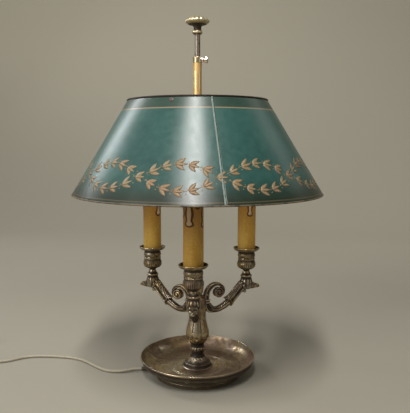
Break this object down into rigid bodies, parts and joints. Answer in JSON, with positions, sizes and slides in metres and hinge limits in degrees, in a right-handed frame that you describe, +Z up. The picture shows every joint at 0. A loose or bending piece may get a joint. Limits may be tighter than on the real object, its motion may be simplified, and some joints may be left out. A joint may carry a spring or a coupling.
{
  "type": "bouillotte table lamp",
  "caption": "Table lamp with a dished foot, turned column, cast scroll arms holding candle-style lampholders, and a conical metal shade that slides and turns on a centre rod with a knob.",
  "frame": {"origin": "on the column's axis, in the plane that the foot ring stands on", "axes": "+Z up along the centre rod, -Y along the front arm, -X towards the cord"},
  "size_m": [0.6547, 0.3466, 0.504],
  "materials": {
    "silvered_bronze": "worn silver plate over cast bronze, satin",
    "rod_steel": "dull satin steel",
    "polished_brass": "lacquered, bright",
    "knob_gilt": "worn gilt",
    "shade_green": "dark green japanned enamel, glossy",
    "shade_edge": "black enamel",
    "candle_wax": "ochre wax look, satin",
    "holder_phenolic": "moulded, dark brown",
    "shell_brass": "rolled thread",
    "bulb_cap_metal": "rolled thread",
    "bulb_clear": "clear",
    "zinc_steel": "zinc plated",
    "cord_pvc": "off-white flexible PVC, matt",
    "bush_pvc": "off-white flexible PVC, matt",
    "switch_plastic": "off-white moulded",
    "plug_plastic": "off-white moulded",
    "pin_brass": "nickel plated"
  },
  "bodies": {
    "lamp_frame": {"base_dish": "silvered_bronze", "base_washer": "zinc_steel", "base_lock_nut": "zinc_steel", "tie_tube": "zinc_steel", "column_foot": "silvered_bronze", "column_knop": "silvered_bronze", "baluster": "silvered_bronze", "arm_hub": "silvered_bronze", "hub_cap": "silvered_bronze", "centre_rod": "rod_steel", "knob_collar": "knob_gilt", "knob": "knob_gilt", "holder_nipples": "zinc_steel", "inner_lead": "cord_pvc", "cord_bush": "bush_pvc", "lamp_cord": "cord_pvc", "cord_to_coil": "cord_pvc", "cord_coil": "cord_pvc", "cord_to_plug": "cord_pvc", "switch_base": "switch_plastic", "switch_cover": "switch_plastic", "switch_screws": "zinc_steel", "plug_body": "plug_plastic", "plug_pins": "pin_brass", "arm_front": "silvered_bronze", "candle_cup_front": "silvered_bronze", "drip_pan_front": "silvered_bronze", "lampholder_front": "holder_phenolic", "socket_shell_front": "shell_brass", "arm_right": "silvered_bronze", "candle_cup_right": "silvered_bronze", "drip_pan_right": "silvered_bronze", "lampholder_right": "holder_phenolic", "socket_shell_right": "shell_brass", "arm_left": "silvered_bronze", "candle_cup_left": "silvered_bronze", "drip_pan_left": "silvered_bronze", "lampholder_left": "holder_phenolic", "socket_shell_left": "shell_brass"},
    "shade_carrier": {"shade_sleeve": "polished_brass", "sleeve_collar": "knob_gilt"},
    "shade": {"spider_hub": "polished_brass", "spider_bars": "polished_brass", "spider_rivets": "polished_brass", "shade_panel_a": "shade_green", "shade_panel_b": "shade_green", "shade_seam_strips": "shade_green", "shade_top_bead": "shade_edge", "shade_bottom_bead": "shade_edge"},
    "thumb_screw": {"thumb_screw": "knob_gilt"},
    "switch_rocker": {"switch_rocker": "switch_plastic"},
    "candle_sleeve_front": {"candle_sleeve_front": "candle_wax"},
    "bulb_front": {"bulb_cap_front": "bulb_cap_metal", "bulb_glass_front": "bulb_clear"},
    "candle_sleeve_right": {"candle_sleeve_right": "candle_wax"},
    "bulb_right": {"bulb_cap_right": "bulb_cap_metal", "bulb_glass_right": "bulb_clear"},
    "candle_sleeve_left": {"candle_sleeve_left": "candle_wax"},
    "bulb_left": {"bulb_cap_left": "bulb_cap_metal", "bulb_glass_left": "bulb_clear"}
  },
  "joints": [
    {"name": "shade_height", "type": "slide", "parent": "lamp_frame", "child": "shade_carrier", "axis": [0, 0, 1], "range_m": [-0.045, 0.029]},
    {"name": "shade_turn", "type": "hinge", "parent": "shade_carrier", "child": "shade", "pos_m": [0, 0, 0.382], "axis": [0, 0, 1], "continuous": true},
    {"name": "thumb_screw_turn", "type": "hinge", "parent": "shade_carrier", "child": "thumb_screw", "pos_m": [0.0083, 0, 0.44515], "axis": [1, 0, 0], "range_deg": [-180, 180]},
    {"name": "candle_sleeve_front_lift", "type": "slide", "parent": "lamp_frame", "child": "candle_sleeve_front", "axis": [0, 0, 1], "range_m": [0, 0.005]},
    {"name": "candle_sleeve_right_lift", "type": "slide", "parent": "lamp_frame", "child": "candle_sleeve_right", "axis": [0, 0, 1], "range_m": [0, 0.005]},
    {"name": "candle_sleeve_left_lift", "type": "slide", "parent": "lamp_frame", "child": "candle_sleeve_left", "axis": [0, 0, 1], "range_m": [0, 0.005]},
    {"name": "bulb_front_turn", "type": "hinge", "parent": "lamp_frame", "child": "bulb_front", "pos_m": [0, -0.0812, 0.2545], "axis": [0, 0, 1], "range_deg": [0, 720]},
    {"name": "bulb_right_turn", "type": "hinge", "parent": "lamp_frame", "child": "bulb_right", "pos_m": [0.07032, 0.0406, 0.2545], "axis": [0, 0, 1], "range_deg": [0, 720]},
    {"name": "bulb_left_turn", "type": "hinge", "parent": "lamp_frame", "child": "bulb_left", "pos_m": [-0.07032, 0.0406, 0.2545], "axis": [0, 0, 1], "range_deg": [0, 720]},
    {"name": "switch_rock", "type": "hinge", "parent": "lamp_frame", "child": "switch_rocker", "pos_m": [-0.3705, 0.008, 0.0142], "axis": [0, 1, 0], "range_deg": [-14, 0]}
  ]
}
